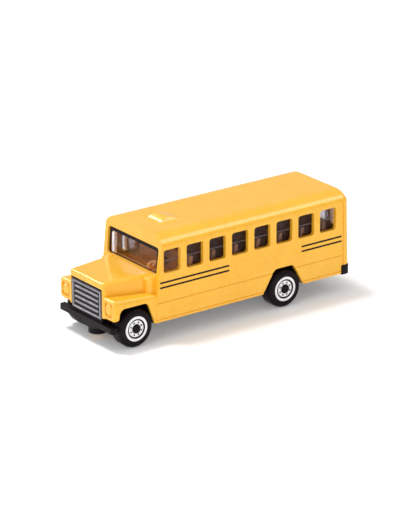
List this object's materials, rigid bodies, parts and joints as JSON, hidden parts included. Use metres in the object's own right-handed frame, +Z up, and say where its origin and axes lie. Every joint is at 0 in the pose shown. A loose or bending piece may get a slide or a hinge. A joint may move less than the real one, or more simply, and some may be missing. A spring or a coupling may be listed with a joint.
{
  "type": "toy school bus",
  "caption": "Small die-cast toy school bus with a yellow cast body, smoky windows, black plastic base and free-rolling wheels.",
  "frame": {"origin": "middle of the toy's length and width, on the ground under the wheels", "axes": "+X forward to the grille, +Y to the driver's left side, +Z up"},
  "size_m": [0.0764, 0.0252, 0.029],
  "materials": {
    "yellow_paint": "gloss",
    "black_plastic": "satin",
    "smoky_clear": "gloss",
    "tan_plastic": "satin",
    "steel_wire": "satin",
    "wheel_plastic": "satin",
    "black_print": "satin",
    "white_print": "satin",
    "silver_print": "satin"
  },
  "bodies": {
    "root": {"body_shell": "yellow_paint", "chassis_base": "black_plastic", "window_glazing": "smoky_clear", "cabin_interior": "tan_plastic"},
    "front_wheelset": {"axle_front": "steel_wire", "wheel_front_left": "wheel_plastic", "wheel_front_right": "wheel_plastic"},
    "rear_wheelset": {"axle_rear": "steel_wire", "wheel_rear_left": "wheel_plastic", "wheel_rear_right": "wheel_plastic"}
  },
  "joints": [
    {"name": "front_axle_roll", "type": "hinge", "parent": "root", "child": "front_wheelset", "pos_m": [0.03085, 0, 0.00515], "axis": [0, 1, 0], "continuous": true},
    {"name": "rear_axle_roll", "type": "hinge", "parent": "root", "child": "rear_wheelset", "pos_m": [-0.01675, 0, 0.00515], "axis": [0, 1, 0], "continuous": true}
  ]
}
